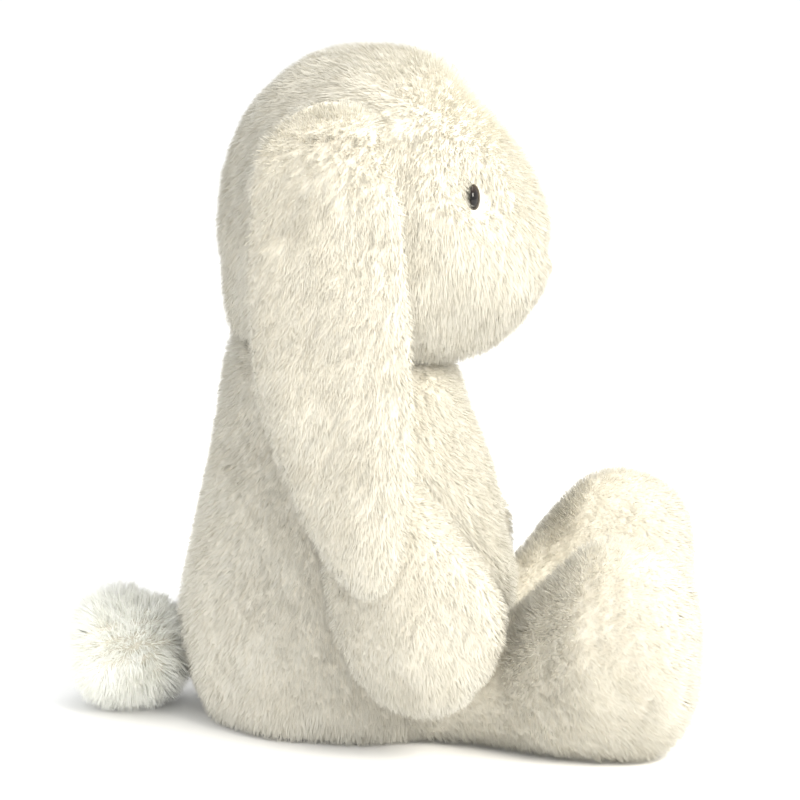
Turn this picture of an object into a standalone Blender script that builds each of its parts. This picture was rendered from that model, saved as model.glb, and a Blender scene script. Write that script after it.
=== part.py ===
"""Seated lop-eared toy rabbit in short pile fabric, built as its sewn panels, stuffing and fittings.

Units are metres and +Z is up. The rabbit looks along -Y, its right side is at -X, and the origin is
the middle of its base on the surface it sits on. Outlines are written in millimetres and scaled by MM.
"""

import math

import bmesh
import bpy
from mathutils import Matrix, Vector
from mathutils.bvhtree import BVHTree

MM = 0.001

# Driving dimensions, in millimetres.
SKIN = 3.0  # backing and pile of one panel, pressed together
GAP = 0.3  # clearance between neighbouring pieces
HALF_GAP = GAP / 2
FILLING_INSET = SKIN + 0.6
EAR_SEAM_GAP = 0.9
EAR_GUIDE_TOP, EAR_GUIDE_BOTTOM = 320.0, 20.0
GUSSET_HALF_WIDTH = 22.0
CHIN_SEAM_HEIGHT = 206.0
CHIN_SEAM_DEPTH = 6.0
BODY_SIDE_SEAM = 14.0  # y of the seam between front and back body panels
SEAT_HEIGHT = 9.0  # height of the seam round the seat panel
SEAT_POUCH_TOP = 26.0
FOOT_POUCH_FRONT = -98.0
SOLE_SEAM = -121.0
TAIL_OPENING = 88.5
EYE_HEIGHT = 236.0
EYE_BEARING = (-0.72, -0.69, 0.0)  # from the middle of the head towards the right eye
EYE_DIAMETER = 12.0
EYE_DOME_HEIGHT = 4.6
EYE_SEGMENTS = 18
SHANK_RADIUS = 1.8
SHANK_LENGTH = 15.0
WASHER_RADIUS = 6.5
WASHER_THICKNESS = 1.2
WASHER_DEPTH = SKIN + 2.8  # of the washer's far face under the head's surface
EYE_RIM_LIFT = 0.9  # of the dome's rim over the head's surface
CHANNEL_RADIUS = 7.2
DOME_RIM_INSET = 0.9  # the flat back of the dome, as a share of its radius
NOSE_HEIGHT = 212.5
NOSE_HALF_WIDTH = 8.5
NOSE_HALF_HEIGHT = 5.2
NOSE_CORNER_LIFT = 0.9  # turns the oval into a rounded triangle
NOSE_THICKNESS = 1.4
MOUTH_HEIGHT = 200.5
MOUTH_HALF_WIDTH = 0.8
MOUTH_HALF_LENGTH = 6.0
MOUTH_THICKNESS = 1.1
FACE_FRONT, FACE_BACK = -120.0, -50.0  # how far the face's guides reach along y
LEG_SIDE_SEAM = -52.0  # x of the seam between a leg's outer and inner panels

FAR = 400.0  # beyond every piece, for the open sides of a guide box

# How much larger a cage is drawn than the form that one subdivision leaves of it.
LENGTHWISE_GROWTH = 1.02
POLE_GROWTH = 0.3

# Joint axes and the clearance surfaces round them.
NECK_PIVOT = (0.0, 16.0, 148.0)
NECK_SOCKET_RADIUS = 38.0
SHOULDER_PIVOT = (-67.0, 15.0, 145.0)
EAR_PIVOT = (-61.0, 16.0, 277.0)
HIP_PIVOT = (-36.0, -16.0, 26.0)
HIP_SOCKET_RADIUS = 26.0
HIP_LIFT_DEG = 12.0
HIP_DROP_DEG = 35.0
HIP_ARC_STEP_DEG = 12
HIP_RECESS_REACH = 80.0
HIP_RECESS_FLOOR = -10.0
HIP_INNER_X = -9.0
HIP_OUTER_X = -100.0
TAIL_PIVOT = (0.0, 88.0, 27.0)

# Upright forms, from the top down: height, front y, back y, half width.
HEAD_RINGS = [
    (288, -33, 39, 38),
    (272, -53, 56, 56),
    (248, -67, 66, 66),
    (222, -75, 70, 69),
    (199, -72, 69, 64),
    (181, -62, 65, 53),
    (170, -42, 56, 36),
]
HEAD_POLES = ((3, 297), (9, 166.5))
BODY_RINGS = [
    (174, -8, 39, 22),
    (161, -17, 50, 33),
    (149, -30, 60, 43),
    (130, -41, 68, 50),
    (98, -50.5, 76, 55),
    (64, -58.5, 83, 59),
    (32, -59.5, 83, 59.5),
    (8, -54, 77, 54),
    (-7, -46, 69, 45),
]
BODY_POLES = ((16, 182), (12, -10))

# Slanting forms: centre x, y, z, tilt of the ring in degrees, half width across X, half width
# along the ring.
EAR_RINGS = [
    (-62, 16, 273, 0, 6.5, 19),
    (-75, 24, 253, 0, 7.5, 28),
    (-83, 22.5, 218, 0, 7.5, 31.5),
    (-92, 19.5, 166, 0, 7.5, 33),
    (-100, 14, 123, 0, 7.5, 27.5),
    (-105.5, 6, 88, 0, 6.5, 14.5),
]
EAR_POLES = ((-59, 15, 281.5), (-107, 5, 70))
ARM_RINGS = [
    (-66, 15, 143, 0, 13, 14),
    (-71, 12, 124, -6, 16, 20),
    (-76, 2, 97, -12, 17, 25),
    (-80, -12, 67, -15, 18.5, 31),
    (-81.5, -25, 43, -20, 19, 30),
    (-81.5, -32, 28, -23, 14, 21),
]
ARM_POLES = ((-65, 15, 152), (-81, -35, 18.5))
LEG_RINGS = [
    (-34, 1, 26, 90, 16, 16),
    (-36, -14, 25.5, 90, 24, 24),
    (-41, -40, 23, 90, 24.5, 23.5),
    (-53, -63, 25.5, 90, 26, 27.5),
    (-63, -82, 39, 90, 30, 41),
    (-66, -105, 46.5, 90, 31, 49),
    (-66, -125, 47, 90, 25, 37),
]
LEG_POLES = ((-33, 8.5, 26), (-66, -134.5, 49))
TAIL_RINGS = [
    (0, 89, 27.5, 90, 15, 15),
    (0, 99, 27.5, 90, 24, 24),
    (0, 114, 27.5, 90, 26, 26),
    (0, 127, 27.5, 90, 18, 18),
]
TAIL_POLES = ((0, 84, 27.5), (0, 134, 27.5))

# Surface colours: name, colour, roughness.
CREAM = (0.93, 0.90, 0.80)
COLOURS = {
    "pile_fabric": (CREAM, 0.9),
    "stuffing": ((0.96, 0.96, 0.95), 0.95),
    "pellet_bag": ((0.86, 0.86, 0.84), 0.8),
    "eye_plastic": ((0.02, 0.014, 0.012), 0.12),
    "washer_plastic": ((0.88, 0.88, 0.86), 0.45),
    "nose_thread": ((0.87, 0.66, 0.62), 0.7),
    "mouth_thread": ((0.80, 0.68, 0.60), 0.7),
}


def clear_scene():
    """Empties the file of objects and of the collections that an earlier run left."""
    for obj in list(bpy.data.objects):
        bpy.data.objects.remove(obj, do_unlink=True)
    for collection in list(bpy.data.collections):
        bpy.data.collections.remove(collection)


def new_collection(name):
    collection = bpy.data.collections.new(name)
    bpy.context.scene.collection.children.link(collection)
    return collection


def new_material(name):
    colour, roughness = COLOURS[name]
    material = bpy.data.materials.new(name)
    material.use_nodes = True
    shader = material.node_tree.nodes["Principled BSDF"]
    shader.inputs["Base Color"].default_value = (*colour, 1.0)
    shader.inputs["Roughness"].default_value = roughness
    shader.inputs["Metallic"].default_value = 0.0
    return material


def mesh_from(bm, name):
    """Closes a bmesh into a mesh whose faces point outwards."""
    bmesh.ops.recalc_face_normals(bm, faces=bm.faces)
    mesh = bpy.data.meshes.new(name)
    bm.to_mesh(mesh)
    bm.free()
    return mesh


def upright(rings, poles):
    """Turns (height, front, back, half width) rows into ring rows, and (y, z) poles into points."""
    rows = [
        (0, (front + back) / 2, height, 0, half_width, (back - front) / 2)
        for height, front, back, half_width in rings
    ]
    return rows, [(0, y, z) for y, z in poles]


def cage(name, rings, poles, sides):
    """Coarse closed cage through the rings. Each ring spans X and a direction tilted from +Y towards +Z.

    One round of subdivision pulls a ring of few sides inwards, and the ends in, so the rings are drawn
    that much larger and the poles further out.
    """
    grow = LENGTHWISE_GROWTH * 8 / (6 + 2 * math.cos(2 * math.pi / sides))
    bm = bmesh.new()
    loops = []
    for x, y, z, tilt, half_x, half_along in rings:
        along = Vector((0, math.cos(math.radians(tilt)), math.sin(math.radians(tilt))))
        loop = []
        for i in range(sides):
            turn = 2 * math.pi * (i + 0.5) / sides
            point = Vector((x, y, z))
            point += Vector((half_x * grow * math.cos(turn), 0, 0))
            point += along * (half_along * grow * math.sin(turn))
            loop.append(bm.verts.new(point * MM))
        loops.append(loop)
    for upper, lower in zip(loops, loops[1:]):
        for i in range(sides):
            j = (i + 1) % sides
            bm.faces.new((upper[i], upper[j], lower[j], lower[i]))
    for loop, ring, pole in ((loops[0], rings[0], poles[0]), (loops[-1], rings[-1], poles[1])):
        beyond = (Vector(pole) - Vector(ring[:3])) * POLE_GROWTH
        tip = bm.verts.new((Vector(pole) + beyond) * MM)
        for i in range(sides):
            bm.faces.new((loop[i], loop[(i + 1) % sides], tip))
    return mesh_from(bm, name)


def mirrored(point, side):
    return (point[0] * -side, *point[1:])


def subdivide(obj):
    modifier = obj.modifiers.new("Soft form", "SUBSURF")
    modifier.levels = 1
    modifier.render_levels = 1


def offset(obj, distance):
    """Moves the surface of a form along its normals, outwards when distance is positive."""
    modifier = obj.modifiers.new("Offset", "DISPLACE")
    modifier.mid_level = 0.0
    modifier.strength = distance * MM


def boolean(obj, operation, other):
    modifier = obj.modifiers.new(f"{operation.title()} {other.name}", "BOOLEAN")
    modifier.operation = operation
    modifier.solver = "MANIFOLD"  # the exact solver loses some of these smooth-on-smooth cuts
    modifier.object = other


class Builder:
    """Holds the collections and materials, and adds pieces and cutters to them."""

    def __init__(self):
        self.parts = new_collection("stuffed_rabbit")
        self.cutters = new_collection("cutters")
        self.materials = {name: new_material(name) for name in COLOURS}
        self.pivots = {}

    def pivot(self, name, point, parent=None):
        empty = bpy.data.objects.new(name, None)
        self.parts.objects.link(empty)
        empty.matrix_world = Matrix.Translation(Vector(point) * MM)
        if parent:
            empty.parent = self.pivots[parent]
            empty.matrix_parent_inverse = Matrix.Translation(-self.pivots[parent].matrix_world.translation)
        bpy.context.view_layer.update()
        self.pivots[name] = empty

    def cutter(self, name, mesh, inset=None):
        """A guide solid that is cut with and never shown. With an inset it is a subdivided form."""
        obj = bpy.data.objects.new(name, mesh)
        obj.hide_render = True
        obj.display_type = "WIRE"
        self.cutters.objects.link(obj)
        if inset is not None:
            subdivide(obj)
            offset(obj, -inset)
        return obj

    def box(self, name, low, high):
        bm = bmesh.new()
        bmesh.ops.create_cube(bm, size=1.0)
        middle = (Vector(low) + Vector(high)) / 2
        size = Vector(high) - Vector(low)
        for vert in bm.verts:
            vert.co = (middle + vert.co * size) * MM
        return self.cutter(name, mesh_from(bm, name))

    def piece(self, name, mesh, material, pivot):
        obj = bpy.data.objects.new(name, mesh)
        self.parts.objects.link(obj)
        obj.parent = self.pivots[pivot]
        obj.matrix_parent_inverse = Matrix.Translation(-self.pivots[pivot].matrix_world.translation)
        if not mesh.materials:
            mesh.materials.append(self.materials[material])
        obj.material_slots[0].link = "OBJECT"
        obj.material_slots[0].material = self.materials[material]
        mesh.shade_smooth()
        mesh.set_sharp_from_angle(angle=math.radians(40))
        return obj

    def cut_piece(self, name, form, material, pivot, inset, keep, remove=()):
        """A piece of a soft form: inset from its surface, inside the keep guide, less what is removed."""
        obj = self.piece(name, form, material, pivot)
        subdivide(obj)
        if inset:
            offset(obj, -inset)
        boolean(obj, "INTERSECT", keep)
        for other in remove:
            boolean(obj, "DIFFERENCE", other)
        return obj


def ball(name, builder, centre, radius):
    bm = bmesh.new()
    place = Matrix.Translation(Vector(centre) * MM)
    bmesh.ops.create_uvsphere(bm, u_segments=20, v_segments=12, radius=radius * MM, matrix=place)
    return builder.cutter(name, mesh_from(bm, name))


def rod(bm, base, direction, radius, length, segments=16):
    """Adds a closed cylinder to bm, from base along direction."""
    turn = Vector((0, 0, 1)).rotation_difference(Vector(direction)).to_matrix().to_4x4()
    centre = Vector(base) + Vector(direction).normalized() * (length / 2)
    bmesh.ops.create_cone(
        bm,
        cap_ends=True,
        segments=segments,
        radius1=radius * MM,
        radius2=radius * MM,
        depth=length * MM,
        matrix=Matrix.Translation(centre * MM) @ turn,
    )


def prism(name, builder, outline, axis, low, high):
    """A guide with a flat outline of (a, b) points, drawn out along axis X or Y from low to high."""
    bm = bmesh.new()
    ends = []
    for along in (low, high):
        points = [(along, a, b) if axis == "X" else (a, along, b) for a, b in outline]
        ends.append([bm.verts.new(Vector(point) * MM) for point in points])
    bm.faces.new(ends[0])
    bm.faces.new(list(reversed(ends[1])))
    for i in range(len(outline)):
        j = (i + 1) % len(outline)
        bm.faces.new((ends[0][i], ends[0][j], ends[1][j], ends[1][i]))
    return builder.cutter(name, mesh_from(bm, name))


def build_head(builder, socket):
    rings, poles = upright(HEAD_RINGS, HEAD_POLES)
    form = cage("head_form", rings, poles, 8)
    builder.cutter("head_surface", form.copy(), 0)
    inner = builder.cutter("head_hollow", form.copy(), SKIN)
    seam = GUSSET_HALF_WIDTH
    shanks = [eye_guide(builder, side, "hole", SHANK_RADIUS + GAP) for side in (-1, 1)]
    for side, word, hole in ((-1, "right", shanks[0]), (1, "left", shanks[1])):
        outer_x = side * FAR
        inner_x = side * (seam + HALF_GAP)
        keep = builder.box(
            f"head_{word}_guide",
            (min(outer_x, inner_x), -FAR, 0),
            (max(outer_x, inner_x), FAR, FAR),
        )
        builder.cut_piece(
            f"head_side_{word}", form.copy(), "pile_fabric", "neck_pivot", 0, keep, (inner, socket, hole)
        )
    strip = (seam - HALF_GAP, FAR)
    middle = builder.box("gusset_guide", (-strip[0], -FAR, 0), (strip[0], FAR, FAR))
    below = builder.box(
        "below_gusset", (-FAR, -FAR, 0), (FAR, CHIN_SEAM_DEPTH + HALF_GAP, CHIN_SEAM_HEIGHT + HALF_GAP)
    )
    chin = builder.box(
        "chin_guide",
        (-strip[0], -FAR, 0),
        (strip[0], CHIN_SEAM_DEPTH - HALF_GAP, CHIN_SEAM_HEIGHT - HALF_GAP),
    )
    builder.cut_piece(
        "head_gusset", form.copy(), "pile_fabric", "neck_pivot", 0, middle, (inner, socket, below)
    )
    builder.cut_piece("head_chin", form.copy(), "pile_fabric", "neck_pivot", 0, chin, (inner, socket))
    whole = builder.box("head_guide", (-FAR, -FAR, 0), (FAR, FAR, FAR))
    channels = [eye_guide(builder, side, "channel", CHANNEL_RADIUS) for side in (-1, 1)]
    builder.cut_piece(
        "head_stuffing",
        form.copy(),
        "stuffing",
        "neck_pivot",
        FILLING_INSET,
        whole,
        (socket, *channels),
    )
    build_eyes(builder)
    build_nose(builder, form)


def eye_frame(side):
    """The point on the head under an eye, and the surface's outward direction there."""
    surface = BVHTree.FromObject(
        bpy.data.objects["head_surface"], bpy.context.evaluated_depsgraph_get()
    )
    start, out, _, _ = surface.ray_cast(
        Vector((0, 0, EYE_HEIGHT)) * MM, Vector(mirrored(EYE_BEARING, side))
    )
    return start / MM, out if out.y < 0 else -out


def eye_guide(builder, side, kind, radius):
    """A straight hole through the panel, or a wider channel in the stuffing for the shank and washer."""
    start, facing = eye_frame(side)
    depth = SHANK_LENGTH + 2
    bm = bmesh.new()
    rod(bm, start - facing * depth, facing, radius, depth + 10)
    return builder.cutter(f"eye_{kind}_{'right' if side < 0 else 'left'}", mesh_from(bm, kind))


def build_eyes(builder):
    """Glossy domes whose shanks pass through the panel into a washer on its inner face."""
    for side, word in ((-1, "right"), (1, "left")):
        start, facing = eye_frame(side)
        turn = Vector((0, 0, 1)).rotation_difference(facing).to_matrix().to_4x4()
        rim = start + facing * EYE_RIM_LIFT
        eye = builder.piece(f"{word}_eye", dome_profile(f"{word}_eye_outline"), "eye_plastic", "neck_pivot")
        eye.data.transform(Matrix.Translation(rim * MM) @ turn)
        screw_turned(eye, facing, rim)
        washer = bmesh.new()
        rod(washer, start - facing * WASHER_DEPTH, facing, WASHER_RADIUS, WASHER_THICKNESS, 24)
        disc = mesh_from(washer, "washer")
        ring = builder.piece(f"{word}_eye_washer", disc, "washer_plastic", "neck_pivot")
        boolean(ring, "DIFFERENCE", bpy.data.objects[f"eye_hole_{word}"])


def dome_profile(name):
    """Half outline of an eye, from the crown out to the rim and in to the end of the shank."""
    radius = EYE_DIAMETER / 2
    steps = 5
    outline = [
        (radius * math.sin(math.pi / 2 * i / steps), EYE_DOME_HEIGHT * math.cos(math.pi / 2 * i / steps))
        for i in range(steps + 1)
    ]
    outline += [(radius * DOME_RIM_INSET, -0.5), (SHANK_RADIUS, -0.6), (SHANK_RADIUS, -SHANK_LENGTH + 1)]
    outline += [(SHANK_RADIUS / 2, -SHANK_LENGTH), (0, -SHANK_LENGTH)]
    mesh = bpy.data.meshes.new(name)
    edges = [(i, i + 1) for i in range(len(outline) - 1)]
    mesh.from_pydata([(r * MM, 0, z * MM) for r, z in outline], edges, [])
    return mesh


def screw_turned(obj, axis, through):
    """Turns the object's outline round an axis."""
    guide = bpy.data.objects.new(f"{obj.name}_axis", None)
    turn = Vector((0, 0, 1)).rotation_difference(Vector(axis)).to_matrix().to_4x4()
    guide.matrix_world = Matrix.Translation(Vector(through) * MM) @ turn
    bpy.context.scene.collection.objects.link(guide)
    modifier = obj.modifiers.new("Turned", "SCREW")
    modifier.object = guide
    modifier.steps = EYE_SEGMENTS
    modifier.render_steps = EYE_SEGMENTS
    modifier.use_merge_vertices = True
    modifier.merge_threshold = 0.00001
    modifier.use_smooth_shade = True


def build_nose(builder, form):
    """A small embroidered nose and one stitch under it, lying on the head's surface."""
    rounded = [
        (
            NOSE_HALF_WIDTH * math.cos(t),
            NOSE_HEIGHT + (NOSE_HALF_HEIGHT * math.sin(t) + NOSE_CORNER_LIFT * math.cos(2 * t)),
        )
        for t in circle(20)
    ]
    nose = prism("nose_guide", builder, rounded, "Y", FACE_FRONT, FACE_BACK)
    slot = [
        (MOUTH_HALF_WIDTH * math.cos(t), MOUTH_HEIGHT + MOUTH_HALF_LENGTH * math.sin(t)) for t in circle(12)
    ]
    mouth = prism("mouth_guide", builder, slot, "Y", FACE_FRONT, FACE_BACK)
    under = builder.cutter("face_surface", form.copy(), -GAP)
    for name, keep, height, material in (
        ("nose", nose, NOSE_THICKNESS, "nose_thread"),
        ("mouth_stitch", mouth, MOUTH_THICKNESS, "mouth_thread"),
    ):
        builder.cut_piece(name, form.copy(), material, "neck_pivot", -height, keep, (under,))


def circle(steps):
    return [2 * math.pi * i / steps for i in range(steps)]


def build_body(builder, hips):
    rings, poles = upright(BODY_RINGS, BODY_POLES)
    form = cage("body_form", rings, poles, 8)
    inner = builder.cutter("body_hollow", form.copy(), SKIN)
    seat_room = builder.box("seat_room", (-FAR, -FAR, SKIN), (FAR, FAR, FAR))
    boolean(inner, "INTERSECT", seat_room)
    y, z = BODY_SIDE_SEAM, SEAT_HEIGHT
    for side, word in ((-1, "right"), (1, "left")):
        for front, place in ((True, "front"), (False, "back")):
            low = [side * HALF_GAP, -FAR if front else y + HALF_GAP, z + HALF_GAP]
            high = [side * FAR, y - HALF_GAP if front else FAR, FAR]
            low[0], high[0] = min(low[0], high[0]), max(low[0], high[0])
            keep = builder.box(f"body_{place}_{word}_guide", low, high)
            builder.cut_piece(
                f"body_{place}_{word}", form.copy(), "pile_fabric", "body_origin", 0, keep, (inner, *hips)
            )
    seat = builder.box("seat_guide", (-FAR, -FAR, 0), (FAR, FAR, z - HALF_GAP))
    builder.cut_piece("body_seat", form.copy(), "pile_fabric", "body_origin", 0, seat, (inner, *hips))
    filling = (
        ("body_stuffing", "stuffing", SEAT_POUCH_TOP + HALF_GAP, FAR),
        ("seat_pellet_pouch", "pellet_bag", SKIN + GAP, SEAT_POUCH_TOP - HALF_GAP),
    )
    for name, material, low, high in filling:
        keep = builder.box(f"{name}_guide", (-FAR, -FAR, low), (FAR, FAR, high))
        recesses = [wider(builder, hip) for hip in hips]
        builder.cut_piece(name, form.copy(), material, "body_origin", FILLING_INSET, keep, recesses)


def wider(builder, hip):
    """The hip recess as the stuffing sees it: the skin's thickness further in."""
    name = f"{hip.name}_for_stuffing"
    return bpy.data.objects.get(name) or hip_recess(builder, name, 1 if "left" in name else -1, GAP)


def hip_recess(builder, name, side, margin):
    """Room for a thigh to swing: round behind the hip, open in front and below."""
    _, y, z = HIP_PIVOT
    radius = HIP_SOCKET_RADIUS + margin
    drop = math.radians(HIP_DROP_DEG)
    rise = math.tan(math.radians(HIP_LIFT_DEG))
    arc = [
        (y + radius * math.sin(a), z + radius * math.cos(a))
        for a in [math.radians(i * HIP_ARC_STEP_DEG - HIP_LIFT_DEG) for i in range(12)]
        if a < math.pi - drop
    ]
    front, floor = y - HIP_RECESS_REACH, HIP_RECESS_FLOOR
    top = arc[0][1] + rise * (arc[0][0] - front)
    end_y, end_z = arc[-1]
    outline = [(front, top), *arc, (end_y - (end_z - floor) * math.tan(drop), floor), (front, floor)]
    inner_x = -side * (HIP_INNER_X + margin)
    outer_x = -side * HIP_OUTER_X
    return prism(name, builder, outline, "X", min(inner_x, outer_x), max(inner_x, outer_x))


def build_limb(builder, name, side, rings, poles, pivot, sides, panels, fillings):
    """A limb's panels and fillings, as rows of a name ending, a filling's material and a guide's corners."""
    rows = [(ring[0] * -side, *ring[1:]) for ring in rings]
    tips = [mirrored(pole, side) for pole in poles]
    form = cage(f"{name}_form", rows, tips, sides)
    inner = builder.cutter(f"{name}_hollow", form.copy(), SKIN)
    for ending, low, high in panels:
        keep = builder.box(f"{name}_{ending}_guide", *facing_side(low, high, side))
        builder.cut_piece(f"{name}_{ending}", form.copy(), "pile_fabric", pivot, 0, keep, (inner,))
    for ending, material, low, high in fillings:
        keep = builder.box(f"{name}_{ending}_guide", *facing_side(low, high, side))
        builder.cut_piece(f"{name}_{ending}", form.copy(), material, pivot, FILLING_INSET, keep)


def facing_side(low, high, side):
    """Mirrors a guide drawn for the right side when it is wanted on the left."""
    if side < 0:
        return low, high
    return (-high[0], *low[1:]), (-low[0], *high[1:])


def build_ear(builder, side, word):
    """Two panels that meet in the middle of the ear's thickness, which drifts outwards towards the tip."""
    rows = [(ring[0] * -side, *ring[1:]) for ring in EAR_RINGS]
    tips = [mirrored(pole, side) for pole in EAR_POLES]
    form = cage(f"{word}_ear_form", rows, tips, 6)
    inner = builder.cutter(f"{word}_ear_hollow", form.copy(), SKIN)
    middle = [(x * -side, z) for x, _, z in (EAR_POLES[0], *[ring[:3] for ring in EAR_RINGS], EAR_POLES[1])]
    middle = [(middle[0][0], EAR_GUIDE_TOP), *middle, (middle[-1][0], EAR_GUIDE_BOTTOM)]
    for ending, way in (("outer", side), ("inner", -side)):
        line = [(x + way * EAR_SEAM_GAP / 2, z) for x, z in middle]
        edge = way * FAR if way == side else 0
        outline = line + [(edge, EAR_GUIDE_BOTTOM), (edge, EAR_GUIDE_TOP)]
        keep = prism(f"{word}_ear_{ending}_guide", builder, outline, "Y", -FAR, FAR)
        builder.cut_piece(
            f"{word}_ear_{ending}", form.copy(), "pile_fabric", f"{word}_ear_pivot", 0, keep, (inner,)
        )
    keep = builder.box(f"{word}_ear_filling_guide", (-FAR, -FAR, 0), (FAR, FAR, FAR))
    builder.cut_piece(
        f"{word}_ear_filling", form.copy(), "stuffing", f"{word}_ear_pivot", FILLING_INSET, keep
    )


def build_arm(builder, side, word):
    rings = ARM_RINGS
    middle = rings[3][0]
    panels = (
        ("outer", (-FAR, -FAR, 0), (middle - HALF_GAP, FAR, FAR)),
        ("inner", (middle + HALF_GAP, -FAR, 0), (FAR, FAR, FAR)),
    )
    fillings = (("stuffing", "stuffing", (-FAR, -FAR, 0), (FAR, FAR, FAR)),)
    build_limb(
        builder, f"{word}_arm", side, rings, ARM_POLES, f"{word}_shoulder_pivot", 6, panels, fillings
    )


def build_leg(builder, side, word):
    panels = (
        ("outer", (-FAR, SOLE_SEAM + HALF_GAP, 0), (LEG_SIDE_SEAM - HALF_GAP, FAR, FAR)),
        ("inner", (LEG_SIDE_SEAM + HALF_GAP, SOLE_SEAM + HALF_GAP, 0), (FAR, FAR, FAR)),
        ("sole", (-FAR, -FAR, 0), (FAR, SOLE_SEAM - HALF_GAP, FAR)),
    )
    fillings = (
        ("stuffing", "stuffing", (-FAR, FOOT_POUCH_FRONT + HALF_GAP, SKIN + GAP), (FAR, FAR, FAR)),
        ("pellet_pouch", "pellet_bag", (-FAR, -FAR, SKIN + GAP), (FAR, FOOT_POUCH_FRONT - HALF_GAP, FAR)),
    )
    build_limb(
        builder, f"{word}_leg", side, LEG_RINGS, LEG_POLES, f"{word}_hip_pivot", 6, panels, fillings
    )


def build_tail(builder):
    panels = (("cover", (-FAR, TAIL_OPENING, 0), (FAR, FAR, FAR)),)
    fillings = (("stuffing", "stuffing", (-FAR, 0, 0), (FAR, FAR, FAR)),)
    build_limb(builder, "tail", -1, TAIL_RINGS, TAIL_POLES, "tail_pivot", 6, panels, fillings)


def main():
    clear_scene()
    builder = Builder()
    builder.pivot("body_origin", (0, 0, 0))
    builder.pivot("neck_pivot", NECK_PIVOT, "body_origin")
    builder.pivot("tail_pivot", TAIL_PIVOT, "body_origin")
    for side, word in ((-1, "right"), (1, "left")):
        builder.pivot(f"{word}_ear_pivot", mirrored(EAR_PIVOT, side), "neck_pivot")
        builder.pivot(f"{word}_shoulder_pivot", mirrored(SHOULDER_PIVOT, side), "body_origin")
        builder.pivot(f"{word}_hip_pivot", mirrored(HIP_PIVOT, side), "body_origin")
    socket = ball("neck_socket", builder, NECK_PIVOT, NECK_SOCKET_RADIUS)
    sides = ((-1, "right"), (1, "left"))
    hips = [hip_recess(builder, f"{word}_hip_recess", side, 0) for side, word in sides]
    build_head(builder, socket)
    build_body(builder, hips)
    for side, word in ((-1, "right"), (1, "left")):
        build_ear(builder, side, word)
        build_arm(builder, side, word)
        build_leg(builder, side, word)
    build_tail(builder)


main()
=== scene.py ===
"""The looks of a seated lop-eared plush rabbit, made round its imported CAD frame.

Each body part is a smooth padded skin with its pile on it as real fibres. Outlines are written in
millimetres in the frame's own axes (the rabbit looks along -Y, +Z is up) and run through the pile's tips.
"""

import math

import bmesh
import bpy
import numpy as np
from mathutils import Matrix, Vector
from mathutils.bvhtree import BVHTree


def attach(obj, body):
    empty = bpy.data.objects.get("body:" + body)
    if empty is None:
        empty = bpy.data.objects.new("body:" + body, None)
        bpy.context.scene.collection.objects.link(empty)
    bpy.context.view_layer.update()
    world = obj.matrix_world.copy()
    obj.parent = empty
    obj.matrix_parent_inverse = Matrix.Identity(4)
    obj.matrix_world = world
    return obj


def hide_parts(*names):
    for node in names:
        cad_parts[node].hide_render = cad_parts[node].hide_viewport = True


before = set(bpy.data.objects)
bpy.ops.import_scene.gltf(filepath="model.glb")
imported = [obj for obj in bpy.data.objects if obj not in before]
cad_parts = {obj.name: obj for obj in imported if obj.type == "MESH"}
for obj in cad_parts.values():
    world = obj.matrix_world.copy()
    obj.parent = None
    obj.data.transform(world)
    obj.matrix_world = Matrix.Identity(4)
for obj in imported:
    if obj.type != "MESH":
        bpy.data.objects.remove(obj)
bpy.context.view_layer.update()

MM = 0.001
SIDES = ((-1, "right"), (1, "left"))

# Pile, in mm: how far the skin lies under the pile's tips, fibre length, how deep a root sits, and the gaps
# that skin and pile keep from the floor.
PILE_DEPTH = 3.0
PILE_LENGTH = 4.9
ROOT_DEPTH = 0.7
FLOOR_CLEARANCE = 0.25
PILE_CLEARANCE = FLOOR_CLEARANCE * 0.4

# A fibre is a closed blade of four triangles: half its root's width in mm, its depth as a share of that,
# how far its facing strays, its faces, and which of them faces out.
FIBRE_WIDTH = 0.23
BLADE_DEPTH = 0.6
BLADE_TWIST = 0.25
BLADE_FACES = ((0, 2, 1), (0, 1, 3), (1, 2, 3), (2, 0, 3))
OUTER_FACE = 1

# The skin's share in the outer face's normal, and how far that normal strays.
SKIN_SHADING = 0.8
SHADING_STRAY = 0.06

# Fibres per square millimetre of skin, and the most in one piece, which keeps its STL from being decimated.
FIBRE_DENSITY = 1.8
MOST_FIBRES = 48000

# How fibres differ from each other: direction, lean, length and tone. The sag is a share of a fibre's length,
# and a root whose trim is below the shortest grows none.
FIBRE_STRAY = 0.13
LEAN_RANGE = (0.55, 1.2)
LENGTH_RANGE = (0.82, 1.06)
LENGTH_WAVES = 0.05
FIBRE_SAG = 0.05
SHORTEST_FIBRE = 0.05
TONE_STRAY, TONE_CLOUDS = 0.24, 0.2

# Ring rows: centre x, y, z, tilt of the ring from +Y towards +Z in degrees, half width across X, half along.
# Upright rows (head and body): height, front y, back y, half width.
HEAD_ROWS = [
    (296.5, -14, 22, 20),
    (290, -30, 38, 38),
    (277, -43.5, 53, 53),
    (261, -56, 62, 64),
    (245, -66, 68, 69.5),
    (230, -73.5, 71, 72),
    (217, -76, 71.5, 72),
    (205, -76, 70, 70),
    (193, -74, 68.5, 66),
    (181, -67.5, 67.5, 60),
    (170, -58, 66, 51),
    (162, -42, 58, 36),
]
HEAD_POLES = ((4, 298.5), (8, 157))
BODY_ROWS = [
    (178, -8, 58, 34),
    (168, -24, 67, 44),
    (156, -35, 70, 50),
    (138, -41.5, 72.5, 54),
    (118, -49, 76, 57.5),
    (96, -55, 80.5, 60.5),
    (74, -60, 86.5, 63),
    (53, -62.5, 89.5, 64.5),
    (34, -61, 89, 65.5),
    (17, -57, 86.5, 65),
    (4, -52, 81, 62),
    (-6, -45, 73, 55),
]
BODY_POLES = ((22, 184), (15, -8))
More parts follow.
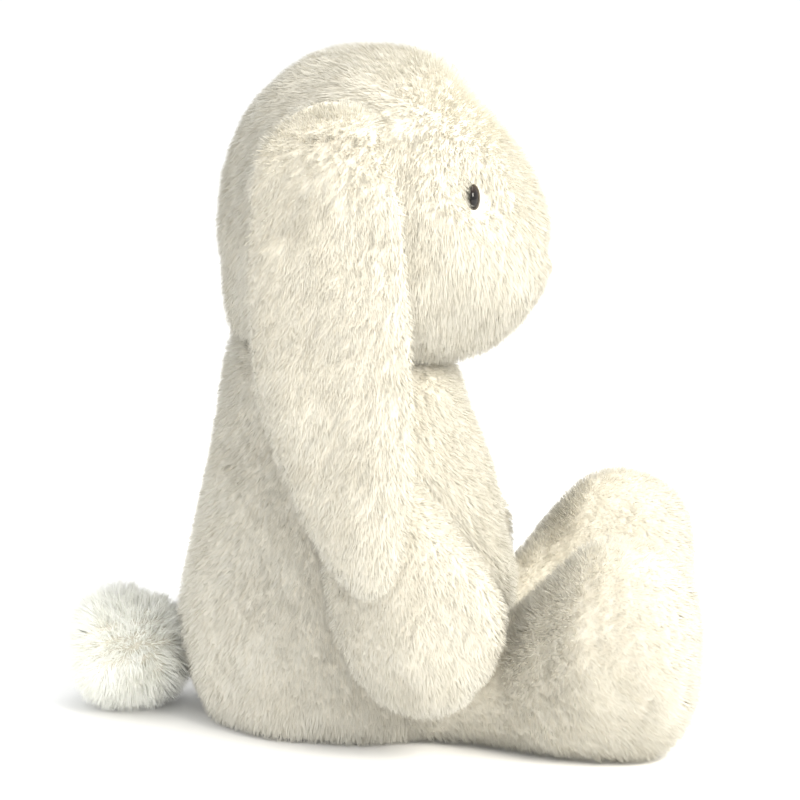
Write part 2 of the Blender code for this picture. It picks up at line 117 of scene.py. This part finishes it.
EAR_ROWS = [
    (-57, 16, 277.5, 0, 7.5, 14),
    (-64.5, 17.6, 273, 0, 9, 22),
    (-74, 19.3, 262, 0, 9, 28.5),
    (-80, 19, 250, 0, 9.5, 32),
    (-84, 17.5, 235, 0, 10, 34),
    (-87.5, 16.6, 218, 0, 10, 35),
    (-90.5, 15.7, 202, 0, 10, 36),
    (-94.5, 14.6, 182, 0, 10, 36.3),
    (-98, 12.9, 161.5, 0, 10, 35),
    (-101.5, 9.4, 141, 0, 10, 31.5),
    (-104, 5.7, 121, 0, 10, 26.8),
    (-106.5, 1.8, 101, 0, 9.5, 19.5),
    (-107.5, -0.5, 87, 0, 8, 14),
]
EAR_POLES = ((-51, 15.5, 281), (-108, -1.5, 76.5))
ARM_ROWS = [
    (-56, 13, 148, 0, 13, 13),
    (-63, 7, 133, -2, 16.5, 18.5),
    (-70.5, 0, 117, -4, 18, 23),
    (-77, -9, 98, -6, 19, 30),
    (-81, -17.3, 78, -8, 19, 36.5),
    (-83, -21.8, 62, -8, 19, 37.5),
    (-83.5, -24, 47, -8, 18.5, 34),
    (-83.5, -25.5, 34.5, -8, 16, 26.5),
    (-83.5, -26, 26, -8, 10.5, 16.5),
]
ARM_POLES = ((-52, 14, 156), (-83.5, -26, 19.5))
LEG_ROWS = [
    (-35, 2, 27, 90, 19, 19),
    (-37, -14, 25, 90, 26, 27),
    (-40, -36, 22, 90, 26, 27),
    (-45, -54, 24.5, 90, 26.5, 29),
    (-53, -67, 31.5, 90, 30, 35),
    (-60.5, -79, 39, 90, 32, 43),
    (-64, -92, 45.5, 90, 33.5, 49),
    (-66, -107, 47.5, 90, 34, 51),
    (-66.5, -121, 47, 90, 32.5, 48.5),
    (-66.5, -132, 47.5, 90, 28, 40),
    (-66.5, -139, 49, 90, 19, 27),
]
LEG_POLES = ((-34, 12, 27), (-66.5, -142, 51))
TAIL_ROWS = [
    (0, 86, 26, 90, 16, 16),
    (0, 95, 26, 90, 25, 25.5),
    (0, 108, 26, 90, 30, 29.5),
    (0, 123, 26, 90, 29.5, 29),
    (0, 135.5, 26, 90, 22, 22),
]
TAIL_POLES = ((0, 79, 26), (0, 142, 26))

# The face.
EYE_AT = (-46.0, -42.0, 237.5)
EYE_FACING = (-0.10, -0.99, 0.02)
EYE_RADIUS = 6.1
EYE_CROWN = 3.2
EYE_REAR = 0.12
DIMPLE_DEPTH, DIMPLE_SIZE = 4.6, (11, 13, 10)
CHEEK_AT, CHEEK_RISE, CHEEK_SIZE = (46, -36, 203), 2.2, (20, 22, 18)
NOTCH_AT, NOTCH_DEPTH, NOTCH_SIZE = (0, -70, 209), 3.4, (11, 12, 4.5)
MUZZLE_AT, MUZZLE_RISE, MUZZLE_SIZE = (0, -72, 199), 1.2, (20, 14, 8)
FACE_FRONT = -50
NOSE_HEIGHT = 211.0
NOSE_HALF_WIDTH = 7.5
MOUTH_TOP, MOUTH_BOTTOM = 205.0, 196.0
MOUTH_PARTING = 1.3
NOSE_STRANDS = 19

# Where the body's pile is split into front and back, and the heights between which it grows.
BODY_SPLIT = 14
BODY_PILE_BOTTOM, BODY_PILE_TOP = 1, 176

# Where the head's pile turns from lying back to hanging down: the height it starts at, and over how much.
FALL_TOP, FALL_DEPTH = 292, 60


def upright(rows, poles):
    rings = [(0, (a + b) / 2, z, 0, half, (b - a) / 2) for z, a, b, half in rows]
    return rings, [(0, y, z) for y, z in poles]


def to_side(rows, poles, side):
    """Rows and poles drawn for the right side (-X), or mirrored to the left."""
    return [(-side * r[0], *r[1:]) for r in rows], [(-side * p[0], *p[1:]) for p in poles]


def mirrored(point, side):
    return Vector((-side * point[0], *point[1:]))


def smooth_cage(rings, poles, sides=16, levels=2):
    """Points (mm) and faces of the rings' closed form, after rounds of subdivision."""
    grow = 3 / (2 + math.cos(2 * math.pi / sides))
    bm = bmesh.new()
    loops = []
    for x, y, z, tilt, half_x, half_along in rings:
        angle = math.radians(tilt)
        along = Vector((0, math.cos(angle), math.sin(angle)))
        loop = []
        for i in range(sides):
            turn = 2 * math.pi * (i + 0.5) / sides
            side_step = Vector((half_x * grow * math.cos(turn), 0, 0))
            point = Vector((x, y, z)) + side_step + along * (half_along * grow * math.sin(turn))
            loop.append(bm.verts.new(point))
        loops.append(loop)
    for upper, lower in zip(loops, loops[1:]):
        for i in range(sides):
            j = (i + 1) % sides
            bm.faces.new((upper[i], upper[j], lower[j], lower[i]))
    for loop, pole in ((loops[0], poles[0]), (loops[-1], poles[1])):
        tip = bm.verts.new(Vector(pole))
        for i in range(sides):
            bm.faces.new((loop[i], loop[(i + 1) % sides], tip))
    bmesh.ops.recalc_face_normals(bm, faces=bm.faces)
    mesh = bpy.data.meshes.new("cage")
    bm.to_mesh(mesh)
    bm.free()
    holder = bpy.data.objects.new("cage", mesh)
    bpy.context.scene.collection.objects.link(holder)
    rounds = holder.modifiers.new("Soft", "SUBSURF")
    rounds.levels = rounds.render_levels = levels
    graph = bpy.context.evaluated_depsgraph_get()
    result = bpy.data.meshes.new_from_object(holder.evaluated_get(graph))
    bpy.data.objects.remove(holder)
    bpy.data.meshes.remove(mesh)
    return result


def points_of(mesh, what="co"):
    values = np.empty(len(mesh.vertices) * 3)
    mesh.vertices.foreach_get(what, values)
    return values.reshape(-1, 3)


def set_points(mesh, points):
    mesh.vertices.foreach_set("co", points.astype(np.float32).ravel())
    mesh.update()


class Waves:
    """Smooth repeatable noise: a sum of sine waves in seeded directions, at the given wavelengths in mm."""

    def __init__(self, seed, wavelengths, each=7):
        rng = np.random.default_rng(seed)
        ways = rng.normal(size=(len(wavelengths) * each, 3))
        ways /= np.linalg.norm(ways, axis=1)[:, None]
        self.ways = ways
        self.rate = 2 * math.pi / np.repeat(wavelengths, each)
        self.phase = rng.uniform(0, 2 * math.pi, len(ways))
        self.size = 1 / math.sqrt(len(ways) / 2)

    def value(self, points):
        return np.sin(points @ (self.ways * self.rate[:, None]).T + self.phase).sum(axis=1) * self.size

    def slope(self, points):
        """Unit-scale direction in which the noise rises: fibres that lean along it gather in tufts."""
        return np.cos(points @ (self.ways * self.rate[:, None]).T + self.phase) @ self.ways * self.size


def skin(name, rings, poles, body, material, sculpt=None, inset=PILE_DEPTH, lumps=0.8):
    """A padded skin under the pile, with gentle stuffing lumps, flat only where it meets the floor."""
    mesh = smooth_cage(rings, poles)
    points, out = points_of(mesh), points_of(mesh, "normal")
    points = points - out * inset
    points += out * (lumps * Waves(11, (45, 28)).value(points))[:, None]
    if sculpt:
        points = sculpt(points, out)
    points[:, 2] = np.maximum(points[:, 2], FLOOR_CLEARANCE)
    set_points(mesh, points * MM)
    mesh.shade_smooth()
    mesh.name = name
    obj = bpy.data.objects.new(name, mesh)
    bpy.context.scene.collection.objects.link(obj)
    mesh.materials.append(material)
    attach(obj, body)
    return obj


def sampled(mesh, rng, density):
    """Random points (mm) and normals spread evenly over a skin."""
    mesh.calc_loop_triangles()
    corners = np.empty(len(mesh.loop_triangles) * 3, np.int64)
    mesh.loop_triangles.foreach_get("vertices", corners)
    corners = corners.reshape(-1, 3)
    points, normals = points_of(mesh) / MM, points_of(mesh, "normal")
    a, b, c = (points[corners[:, i]] for i in range(3))
    area = np.linalg.norm(np.cross(b - a, c - a), axis=1) / 2
    count = int(area.sum() * density)
    pick = rng.choice(len(area), count, p=area / area.sum())
    u, v = rng.random(count), rng.random(count)
    over = u + v > 1
    u[over], v[over] = 1 - u[over], 1 - v[over]
    weights = np.stack([1 - u - v, u, v], axis=1)[:, :, None]
    at = (points[corners[pick]] * weights).sum(axis=1)
    out = (normals[corners[pick]] * weights).sum(axis=1)
    return at, unit(out)


def unit(vectors):
    return vectors / np.maximum(np.linalg.norm(vectors, axis=1), 1e-9)[:, None]


def pile(name, base, body, material, seed, flow, length=PILE_LENGTH, lean=1.25, tuft=0.2, trim=None,
         keep=None, density=FIBRE_DENSITY):
    """Closed tapering fibres rooted in the skin, in as many pieces as they need. flow gives each root's lie,
    trim a length factor for each root, and keep says which roots grow."""
    rng = np.random.default_rng(seed)
    at, out = sampled(base.data, rng, density)
    if keep is not None:
        chosen = keep(at, out)
        at, out = at[chosen], out[chosen]
    factor = np.ones(len(at)) if trim is None else trim(at)
    grows = factor > SHORTEST_FIBRE
    at, out, factor = at[grows], out[grows], factor[grows]
    lie = flow(at)
    lie = lie - out * (lie * out).sum(axis=1)[:, None]
    tufts = Waves(seed + 1, (13, 8, 5)).slope(at)
    stray = rng.normal(size=at.shape) * FIBRE_STRAY
    leaning = lean * rng.uniform(*LEAN_RANGE, len(at))
    way = unit(out + lie * leaning[:, None] + tufts * tuft + stray)
    swell = 1 + LENGTH_WAVES * Waves(seed + 2, (16, 9)).value(at)
    spread = rng.uniform(*LENGTH_RANGE, len(at)) * swell
    long = length * factor * spread
    sag = np.array([0, 0, -1.0]) * (FIBRE_SAG * long)[:, None]
    tips = at + way * long[:, None] + sag
    roots = at - out * ROOT_DEPTH
    sideways = unit(np.cross(way, out + rng.normal(size=at.shape) * BLADE_TWIST))
    under = np.cross(way, sideways)
    half, deep = sideways * FIBRE_WIDTH, under * FIBRE_WIDTH * BLADE_DEPTH
    verts = np.stack([roots - half, roots + half, roots + deep, tips], axis=1).reshape(-1, 3)
    verts[:, 2] = np.maximum(verts[:, 2], PILE_CLEARANCE)
    count = len(at)
    clouds = TONE_CLOUDS * Waves(seed + 3, (30, 14)).value(at)
    tone = np.clip(0.5 + TONE_STRAY * rng.normal(size=count) + clouds, 0, 1)
    facing = out * SKIN_SHADING - unit(under) * (1 - SKIN_SHADING)
    shading = unit(facing + rng.normal(size=at.shape) * SHADING_STRAY)
    shares = np.array_split(np.argsort(at[:, 1]), math.ceil(count / MOST_FIBRES))
    for number, share in enumerate(shares, 1):
        label = name if len(shares) == 1 else f"{name}_{number}"
        corners = verts.reshape(-1, 4, 3)[share].reshape(-1, 3)
        mesh = fibre_mesh(label, corners * MM, tone[share], shading[share])
        obj = bpy.data.objects.new(label, mesh)
        bpy.context.scene.collection.objects.link(obj)
        mesh.materials.append(material)
        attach(obj, body)


def fibre_mesh(name, verts, tone, shading):
    """One mesh of all the fibres, with each one's tone, darkened towards its root as painted shade, a map
    cell of its own, and on its outer face a normal near the skin's, so that the pile takes the light as one
    soft surface."""
    first = (np.arange(len(tone)) * 4)[:, None]
    faces = np.concatenate([first + face for face in BLADE_FACES], axis=1).reshape(-1, 3)
    mesh = bpy.data.meshes.new(name)
    mesh.vertices.add(len(verts))
    mesh.vertices.foreach_set("co", verts.astype(np.float32).ravel())
    mesh.loops.add(faces.size)
    mesh.loops.foreach_set("vertex_index", faces.astype(np.int32).ravel())
    mesh.polygons.add(len(faces))
    mesh.polygons.foreach_set("loop_start", np.arange(0, faces.size, 3, dtype=np.int32))
    mesh.update(calc_edges=True)
    shades = mesh.attributes.new("tone_and_root_shade", "FLOAT", "POINT")
    # Painted shade: each fibre's tone is darkened towards its root, deep in the pile.
    values = np.stack([tone * 0.55] * 3 + [tone * 0.55 + 0.45], axis=1)
    shades.data.foreach_set("value", values.astype(np.float32).ravel())
    grid = math.ceil(math.sqrt(len(tone)))
    cell = np.arange(len(tone))
    corner = np.stack([cell % grid, cell // grid], axis=1) / grid
    inner = np.array([(0.2, 0.2), (0.8, 0.2), (0.5, 0.4), (0.5, 0.85)]) / grid
    spots = (corner[:, None, :] + inner[None]).reshape(-1, 2)
    layer = mesh.uv_layers.new(name="OFBake")
    layer.data.foreach_set("uv", spots[faces.ravel()].astype(np.float32).ravel())
    mesh.shade_smooth()
    a, b, c = (verts[faces[:, i]] / MM for i in range(3))
    normals = unit(np.cross(b - a, c - a))
    normals[OUTER_FACE::4] = shading
    mesh.normals_split_custom_set(np.repeat(normals, 3, axis=0))
    return mesh


def nodes_of(material):
    material.use_nodes = True
    tree = material.node_tree
    return tree.nodes, tree.links, tree.nodes["Principled BSDF"]


def ramp_between(nodes, low, high, start=0.3, end=0.7):
    ramp = nodes.new("ShaderNodeValToRGB")
    ramp.color_ramp.elements[0].color = (*low, 1)
    ramp.color_ramp.elements[0].position = start
    ramp.color_ramp.elements[1].color = (*high, 1)
    ramp.color_ramp.elements[1].position = end
    return ramp


def noise(nodes, links, scale, detail=3.0):
    """Cloudy pattern in the object's own metres, scale features to the metre."""
    place = nodes.new("ShaderNodeTexCoord")
    pattern = nodes.new("ShaderNodeTexNoise")
    pattern.inputs["Scale"].default_value = scale
    pattern.inputs["Detail"].default_value = detail
    links.new(place.outputs["Object"], pattern.inputs["Vector"])
    return pattern


def fibre_material(name, shade, light):
    """Pile fibre: its tone, with painted shade from root to tip, and cloudy patches of painted sheen where
    light catches pile that lies differently.
    """
    material = bpy.data.materials.new(name)
    nodes, links, shader = nodes_of(material)
    # Painted shade: the ramp runs from the shade colour at the root to the light colour at the tip.
    tone = nodes.new("ShaderNodeAttribute")
    tone.attribute_name = "tone_and_root_shade"
    along = ramp_between(nodes, shade, light, 0.0, 0.85)
    links.new(tone.outputs["Fac"], along.inputs["Fac"])
    # Painted sheen: cloudy patches a little lighter and darker, standing in for light caught where the pile
    # lies differently.
    painted_sheen_patches = ramp_between(nodes, (0.95, 0.945, 0.93), (1, 1, 1), 0.36, 0.62)
    links.new(noise(nodes, links, 70).outputs["Fac"], painted_sheen_patches.inputs["Fac"])
    mix = nodes.new("ShaderNodeMix")
    mix.data_type, mix.blend_type = "RGBA", "MULTIPLY"
    mix.inputs["Factor"].default_value = 1.0
    links.new(along.outputs["Color"], mix.inputs["A"])
    links.new(painted_sheen_patches.outputs["Color"], mix.inputs["B"])
    links.new(mix.outputs["Result"], shader.inputs["Base Color"])
    shader.inputs["Roughness"].default_value = 0.8
    shader.inputs["Sheen Weight"].default_value = 0.35
    shader.inputs["Sheen Roughness"].default_value = 0.5
    shader.inputs["Specular IOR Level"].default_value = 0.2
    return material


def backing_material(name):
    """Knitted backing under the pile, as it shows between the fibres."""
    material = bpy.data.materials.new(name)
    nodes, links, shader = nodes_of(material)
    tint = ramp_between(nodes, (0.66, 0.62, 0.53), (0.74, 0.71, 0.63), 0.35, 0.65)
    links.new(noise(nodes, links, 260, 5.0).outputs["Fac"], tint.inputs["Fac"])
    links.new(tint.outputs["Color"], shader.inputs["Base Color"])
    shader.inputs["Roughness"].default_value = 0.95
    bump = nodes.new("ShaderNodeBump")
    bump.inputs["Strength"].default_value = 0.5
    bump.inputs["Distance"].default_value = 0.0004
    links.new(noise(nodes, links, 900, 4.0).outputs["Fac"], bump.inputs["Height"])
    links.new(bump.outputs["Normal"], shader.inputs["Normal"])
    return material


def eye_material():
    """Glossy moulded eye: nearly black, with a hint of brown."""
    material = bpy.data.materials.new("eye_gloss")
    nodes, links, shader = nodes_of(material)
    tint = ramp_between(nodes, (0.006, 0.005, 0.005), (0.035, 0.020, 0.013), 0.35, 0.7)
    links.new(noise(nodes, links, 220).outputs["Fac"], tint.inputs["Fac"])
    links.new(tint.outputs["Color"], shader.inputs["Base Color"])
    shader.inputs["Roughness"].default_value = 0.10
    shader.inputs["Specular IOR Level"].default_value = 0.35
    return material


def thread_material(name, shade, light):
    """Satin embroidery thread with its twist as fine bands of painted shade and highlight, and as bumps."""
    material = bpy.data.materials.new(name)
    nodes, links, shader = nodes_of(material)
    place = nodes.new("ShaderNodeTexCoord")
    twist = nodes.new("ShaderNodeTexWave")
    twist.inputs["Scale"].default_value = 900
    twist.inputs["Distortion"].default_value = 1.5
    links.new(place.outputs["Object"], twist.inputs["Vector"])
    # Painted shade and highlight: the twist's bands run between a shade and a light colour of the one thread.
    tint = ramp_between(nodes, shade, light, 0.2, 0.8)
    links.new(twist.outputs["Fac"], tint.inputs["Fac"])
    links.new(tint.outputs["Color"], shader.inputs["Base Color"])
    shader.inputs["Roughness"].default_value = 0.5
    shader.inputs["Sheen Weight"].default_value = 0.4
    bump = nodes.new("ShaderNodeBump")
    bump.inputs["Strength"].default_value = 0.6
    bump.inputs["Distance"].default_value = 0.0002
    links.new(twist.outputs["Fac"], bump.inputs["Height"])
    links.new(bump.outputs["Normal"], shader.inputs["Normal"])
    return material


BACKING = backing_material("pile_backing")
# Each pile's first colour is painted shade at the fibres' roots, the second its tips' colour.
CREAM = fibre_material("cream_pile", (0.64, 0.61, 0.53), (0.725, 0.705, 0.63))
WHITE = fibre_material("tail_pile", (0.94, 0.945, 0.87), (0.985, 0.99, 0.95))


def bulge(points, centre, radius):
    """Weight 1 at centre (mm), falling smoothly to 0 some radii away."""
    gap = np.linalg.norm((points - np.array(centre)) / np.array(radius), axis=1)
    return np.exp(-gap * gap)


def sculpt_head(points, out):
    """Eye dimples, soft cheeks, the notch under the nose and the muzzle below it."""
    for side, _ in SIDES:
        eye = mirrored(EYE_AT, side)
        points = points - out * (DIMPLE_DEPTH * bulge(points, eye, DIMPLE_SIZE))[:, None]
        cheek = (side * CHEEK_AT[0], *CHEEK_AT[1:])
        points = points + out * (CHEEK_RISE * bulge(points, cheek, CHEEK_SIZE))[:, None]
    back = np.array([0, 1.0, 0])
    points = points + back * (NOTCH_DEPTH * bulge(points, NOTCH_AT, NOTCH_SIZE))[:, None]
    return points - back * (MUZZLE_RISE * bulge(points, MUZZLE_AT, MUZZLE_SIZE))[:, None]


def toward(*way):
    """A flow that lies the same way everywhere."""
    return lambda at: np.tile(np.array(way, float), (len(at), 1))


def head_flow(at):
    """Brushed back over the crown, and down over the face, the cheeks and the nape."""
    fall = np.clip((FALL_TOP - at[:, 2]) / FALL_DEPTH, 0, 1)
    return unit(np.stack([np.sign(at[:, 0]) * 0.1, 0.9 - 0.75 * fall, -0.3 - 1.0 * fall], axis=1))


def face_trim(at):
    """Shorter pile close round the eyes, the nose and the mouth."""
    factor = np.ones(len(at))
    for side, _ in SIDES:
        eye = np.array(mirrored(EYE_AT, side))
        gap = np.linalg.norm(at - eye, axis=1)
        behind = at[:, 1] > eye[1] + 1
        factor *= np.where(behind, np.clip((gap - 3.5) / 2.0, 0, 1), np.clip((gap - 4.5) / 6.0, 0, 1))
    wide = np.hypot(at[:, 0] / 1.15, (at[:, 2] - NOSE_HEIGHT) * 1.5)
    front = at[:, 1] < FACE_FRONT
    factor *= np.where(front, np.clip((wide - 5.0) / 5.0, 0, 1), 1)
    low, high = at[:, 2] > MOUTH_BOTTOM, at[:, 2] < NOSE_HEIGHT
    factor[front & low & high & (np.abs(at[:, 0]) < MOUTH_PARTING)] = 0
    return factor


def build_head():
    rings, poles = upright(HEAD_ROWS, HEAD_POLES)
    base = skin("head_skin", rings, poles, "head", BACKING, sculpt_head)
    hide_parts("head_side_right", "head_side_left", "head_gusset", "head_chin", "head_stuffing")
    for side, word in SIDES:
        pile(f"head_pile_{word}", base, "head", CREAM, 100 + side, head_flow, lean=1.6, trim=face_trim,
             keep=lambda at, out, side=side: at[:, 0] * side >= 0)
    return base


def build_body():
    rings, poles = upright(BODY_ROWS, BODY_POLES)
    base = skin("body_skin", rings, poles, "torso", BACKING)
    panels = [f"body_{place}_{word}" for place in ("front", "back") for _, word in SIDES]
    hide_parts(*panels, "body_seat", "body_stuffing", "seat_pellet_pouch")
    for front, place in ((True, "front"), (False, "back")):
        pile(f"body_pile_{place}", base, "torso", CREAM, 200 + front, toward(0, 0, -1),
             keep=lambda at, out, front=front: ((at[:, 1] < BODY_SPLIT) == front)
             & (at[:, 2] < BODY_PILE_TOP) & (at[:, 2] > BODY_PILE_BOTTOM))
    return base


def build_limb(part, rows, poles, side, word, flow, fill, seed, nodes, **looks):
    rings, ends = to_side(rows, poles, side)
    name = f"{word}_{part}"
    base = skin(f"{name}_skin", rings, ends, name, BACKING, lumps=0.5)
    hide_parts(*[f"{name}_{node}" for node in nodes])
    pile(f"{name}_pile", base, name, CREAM, seed + side, flow, **looks)
    return base


def build_tail():
    rings, poles = TAIL_ROWS, TAIL_POLES
    base = skin("tail_skin", rings, poles, "tail", BACKING, inset=7.0, lumps=0.6)
    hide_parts("tail_cover", "tail_stuffing")
    pile("tail_pile", base, "tail", WHITE, 700, toward(0, 0.15, -0.3), length=9.0, lean=0.4, tuft=0.35,
         density=FIBRE_DENSITY * 1.5)
    return base


def on_surface(base, x, z):
    """The point (mm) of a skin straight ahead of x, z, seen from the front, and its outward direction."""
    tree = BVHTree.FromObject(base, bpy.context.evaluated_depsgraph_get())
    hit, out, _, _ = tree.ray_cast(Vector((x, -200, z)) * MM, Vector((0, 1, 0)))
    return hit / MM, out


def build_eyes(base):
    """Moulded domes set facing forward in their dimples."""
    gloss = eye_material()
    for side, word in SIDES:
        facing = mirrored(EYE_FACING, side).normalized()
        bm = bmesh.new()
        bmesh.ops.create_uvsphere(bm, u_segments=48, v_segments=24, radius=EYE_RADIUS * MM)
        for vert in bm.verts:
            high = vert.co.z > 0
            vert.co.z *= EYE_CROWN / EYE_RADIUS if high else EYE_REAR
        turn = Vector((0, 0, 1)).rotation_difference(facing).to_matrix().to_4x4()
        place = Matrix.Translation(mirrored(EYE_AT, side) * MM) @ turn
        bmesh.ops.transform(bm, matrix=place, verts=bm.verts)
        mesh = bpy.data.meshes.new(f"{word}_eye_dome")
        bm.to_mesh(mesh)
        bm.free()
        mesh.shade_smooth()
        mesh.materials.append(gloss)
        eye = bpy.data.objects.new(f"{word}_eye_dome", mesh)
        bpy.context.scene.collection.objects.link(eye)
        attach(eye, "head")
        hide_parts(f"{word}_eye", f"{word}_eye_washer")


def stitched(name, base, strands, radius, material, node):
    """Embroidery: strands of thread laid over the pile's roots. Each strand is a list of (x, z) points."""
    curve = bpy.data.curves.new(name, "CURVE")
    curve.dimensions = "3D"
    curve.bevel_depth = radius * MM
    curve.bevel_resolution = 3
    curve.use_fill_caps = True
    for strand in strands:
        spline = curve.splines.new("POLY")
        spline.points.add(len(strand) - 1)
        for i, (x, z) in enumerate(strand):
            at, out = on_surface(base, x, z)
            middle = math.sin(math.pi * i / (len(strand) - 1))
            at = at + out * (0.6 + 1.9 * middle)
            spline.points[i].co = (*(at * MM), 1)
    holder = bpy.data.objects.new(name + "_strands", curve)
    bpy.context.scene.collection.objects.link(holder)
    mesh = bpy.data.meshes.new_from_object(holder.evaluated_get(bpy.context.evaluated_depsgraph_get()))
    bpy.data.objects.remove(holder)
    mesh.shade_smooth()
    obj = bpy.data.objects.new(name, mesh)
    bpy.context.scene.collection.objects.link(obj)
    mesh.materials.clear()
    mesh.materials.append(material)
    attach(obj, "head")
    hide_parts(node)


def build_face(base):
    """A small satin-stitched nose, and a short line of stitch under it."""
    pink = thread_material("nose_satin", (0.62, 0.36, 0.33), (0.86, 0.60, 0.55))
    beige = thread_material("mouth_satin", (0.52, 0.36, 0.30), (0.74, 0.56, 0.48))
    strands = []
    for i in range(NOSE_STRANDS):
        x = NOSE_HALF_WIDTH * (2 * i / (NOSE_STRANDS - 1) - 1)
        share = abs(x) / NOSE_HALF_WIDTH
        top = NOSE_HEIGHT + 3.6 - 1.4 * share**3
        low = NOSE_HEIGHT - 4.2 + 5.0 * share**1.3
        strands.append([(x * (1 - 0.05 * t), top + (low - top) * t / 6) for t in range(7)])
    stitched("nose_embroidery", base, strands, 0.52, pink, "nose")
    heights = [MOUTH_TOP + (MOUTH_BOTTOM - MOUTH_TOP) * t / 5 for t in range(6)]
    line = [[(x, z) for z in heights] for x in (-0.35, 0.35)]
    stitched("mouth_embroidery", base, line, 0.5, beige, "mouth_stitch")


RABBIT_MIDDLE = (0, 0, 0.14)
TAIL_MIDDLE = (0, 0.11, 0.03)


def build_stage():
    floor_mesh = bpy.data.meshes.new("floor")
    bm = bmesh.new()
    bmesh.ops.create_grid(bm, x_segments=1, y_segments=1, size=6.0)
    bm.to_mesh(floor_mesh)
    bm.free()
    material = bpy.data.materials.new("floor_paper")
    nodes, links, shader = nodes_of(material)
    tint = ramp_between(nodes, (0.93, 0.93, 0.925), (0.96, 0.96, 0.955))
    links.new(noise(nodes, links, 3).outputs["Fac"], tint.inputs["Fac"])
    links.new(tint.outputs["Color"], shader.inputs["Base Color"])
    shader.inputs["Roughness"].default_value = 0.9
    floor_mesh.materials.append(material)
    floor = bpy.data.objects.new("floor", floor_mesh)
    bpy.context.scene.collection.objects.link(floor)


def new_light(name, kind, at, target, power):
    light = bpy.data.lights.new(name, kind)
    light.energy = power
    obj = bpy.data.objects.new(name, light)
    obj.location = at
    obj.rotation_euler = (Vector(target) - Vector(at)).to_track_quat("-Z", "Y").to_euler()
    bpy.context.scene.collection.objects.link(obj)
    return light


def build_light():
    """A warm soft key from the rabbit's front and above, a weak top light, a narrow spot on the tail, and a
    white room all round."""
    key = new_light("key", "AREA", (-1.15, -1.35, 1.25), RABBIT_MIDDLE, 54)
    key.size, key.color = 0.9, (1.0, 0.955, 0.86)
    top = new_light("top", "AREA", (0.1, -0.3, 1.9), RABBIT_MIDDLE, 10)
    top.size, top.color = 1.2, (1.0, 0.98, 0.95)
    low = new_light("low_fill", "SPOT", (-1.05, 0.85, 0.16), TAIL_MIDDLE, 48)
    low.spot_size, low.spot_blend, low.shadow_soft_size = math.radians(8), 1.0, 0.08
    world = bpy.data.worlds.new("studio")
    world.use_nodes = True
    world.node_tree.nodes["Background"].inputs["Color"].default_value = (0.98, 0.99, 1.0, 1)
    world.node_tree.nodes["Background"].inputs["Strength"].default_value = 1.03
    bpy.context.scene.world = world
    bpy.context.scene.view_settings.view_transform = "Standard"


CAMERA_BEARING, CAMERA_HEIGHT = 273.0, 12.0
CAMERA_DISTANCE = 1.6
CAMERA_TARGET = (0.0, -0.009, 0.1406)
VIEW_WIDTH = 0.3512
SENSOR = 36.0


def build_camera():
    """Long lens on the rabbit's right side, a little forward of square and a little above."""
    turn, rise = math.radians(CAMERA_BEARING), math.radians(CAMERA_HEIGHT)
    way = Vector((math.sin(turn) * math.cos(rise), -math.cos(turn) * math.cos(rise), math.sin(rise)))
    camera = bpy.data.cameras.new("camera")
    camera.sensor_width = SENSOR
    camera.lens = SENSOR * CAMERA_DISTANCE / VIEW_WIDTH
    camera.clip_end = 50
    obj = bpy.data.objects.new("camera", camera)
    obj.location = Vector(CAMERA_TARGET) + way * CAMERA_DISTANCE
    obj.rotation_euler = (-way).to_track_quat("-Z", "Y").to_euler()
    bpy.context.scene.collection.objects.link(obj)
    bpy.context.scene.camera = obj


build_camera()
build_light()
build_stage()
head = build_head()
build_eyes(head)
build_face(head)
build_body()
for side, word in SIDES:
    build_limb("ear", EAR_ROWS, EAR_POLES, side, word, toward(0, 0.05, -1), 0.35, 300,
               ("outer", "inner", "filling"))
    build_limb("arm", ARM_ROWS, ARM_POLES, side, word, toward(0, -0.35, -1), 0.8, 400,
               ("outer", "inner", "stuffing"))
    build_limb("leg", LEG_ROWS, LEG_POLES, side, word, toward(0, -0.9, -0.35), 0.85, 500,
               ("outer", "inner", "sole", "stuffing", "pellet_pouch"))
build_tail()
